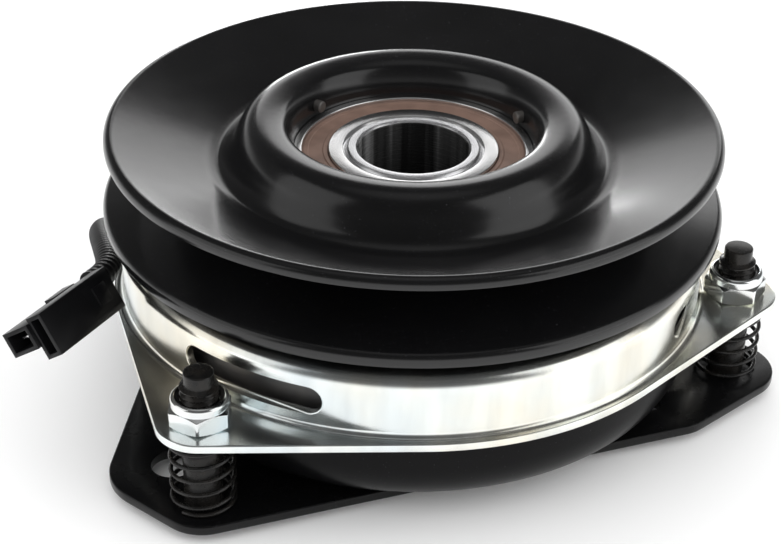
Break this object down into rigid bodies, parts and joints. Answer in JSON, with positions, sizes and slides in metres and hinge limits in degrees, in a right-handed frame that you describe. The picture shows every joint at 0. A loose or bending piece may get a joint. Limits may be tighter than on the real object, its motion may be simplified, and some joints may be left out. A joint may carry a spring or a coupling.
{
  "type": "electromagnetic clutch",
  "caption": "Electromagnetic clutch-brake with a stamped V-belt pulley, keyed bore, zinc brake plate on sprung studs, black backing plate and a short lead with a plug.",
  "frame": {"origin": "centre of the keyed shaft bore in the rotor hub's end face, which seats on the shaft's shoulder", "axes": "+Z along the shaft axis, from the engine towards the pulley; +X through one adjusting stud"},
  "size_m": [0.1913, 0.1712, 0.0753],
  "materials": {
    "gloss_black": "gloss black e-coat over pressed steel",
    "matt_black": "satin black coat",
    "satin_black": "satin black paint",
    "black_oxide": "black oxide",
    "zinc_plate": "bright zinc plate with a faint yellow cast",
    "zinc_hardware": "bright zinc plate",
    "bright_steel": "ground steel",
    "polished_steel": "polished steel",
    "dark_steel": "oiled steel",
    "seal_rubber": "brown moulded rubber",
    "friction_material": "pressed friction composite",
    "copper": "enamelled copper wire",
    "terminal_brass": "tin-plated brass",
    "black_plastic": "moulded black plastic",
    "black_rubber": "black sleeve"
  },
  "bodies": {
    "field": {"backing_plate": "satin_black", "field_shell": "gloss_black", "coil_bobbin": "black_plastic", "coil_winding": "copper", "coil_leads": "black_plastic", "field_bearing_outer_race": "bright_steel", "field_bearing_upper_seal": "seal_rubber", "field_bearing_lower_seal": "seal_rubber", "bearing_retaining_ring": "dark_steel", "adjusting_studs": "black_oxide", "adjusting_springs": "black_oxide", "lead_boot": "black_rubber", "lead_cable": "black_rubber", "connector_housing": "black_plastic", "connector_terminals": "terminal_brass"},
    "rotor": {"rotor": "dark_steel", "rotor_friction_ring": "friction_material", "spacer_sleeve": "bright_steel", "field_bearing_inner_race": "bright_steel", "hub_retaining_ring": "dark_steel", "pulley_bearing_inner_race": "bright_steel"},
    "field_cage": {"field_bearing_balls": "polished_steel", "field_bearing_cage": "dark_steel"},
    "pulley_cage": {"pulley_bearing_balls": "polished_steel", "pulley_bearing_cage": "dark_steel"},
    "pulley": {"upper_sheave": "gloss_black", "lower_sheave": "gloss_black", "spring_carrier": "matt_black", "carrier_rivets": "dark_steel", "pulley_bearing_outer_race": "bright_steel", "pulley_bearing_upper_seal": "seal_rubber", "pulley_bearing_lower_seal": "seal_rubber"},
    "armature": {"armature_plate": "dark_steel", "armature_rivets": "bright_steel", "leaf_springs": "bright_steel"},
    "brake": {"brake_plate": "zinc_plate", "brake_pads": "friction_material", "adjusting_nuts": "zinc_hardware", "nut_inserts": "black_plastic"}
  },
  "joints": [
    {"name": "rotor_spin", "type": "hinge", "parent": "field", "child": "rotor", "pos_m": [0, 0, 0.02], "axis": [0, 0, 1], "continuous": true},
    {"name": "pulley_spin", "type": "hinge", "parent": "rotor", "child": "pulley", "pos_m": [0, 0, 0.058], "axis": [0, 0, 1], "continuous": true},
    {"name": "armature_slide", "type": "slide", "parent": "pulley", "child": "armature", "axis": [0, 0, 1], "range_m": [-0.0004, 0], "stiffness_N_per_m": 20000, "springref_m": 0.001, "deforming": ["leaf_springs"]},
    {"name": "brake_plate_slide", "type": "slide", "parent": "field", "child": "brake", "axis": [0, 0, 1], "range_m": [0, 0.0015], "deforming": ["adjusting_springs"]},
    {"name": "field_cage_spin", "type": "hinge", "parent": "field", "child": "field_cage", "pos_m": [0, 0, 0.0127], "axis": [0, 0, 1], "continuous": true},
    {"name": "pulley_cage_spin", "type": "hinge", "parent": "rotor", "child": "pulley_cage", "pos_m": [0, 0, 0.058], "axis": [0, 0, 1], "continuous": true}
  ],
  "couplings": [
    {"joint": "field_cage_spin", "follows": "rotor_spin", "ratio": 0.4265},
    {"joint": "pulley_cage_spin", "follows": "pulley_spin", "ratio": 0.5819}
  ]
}
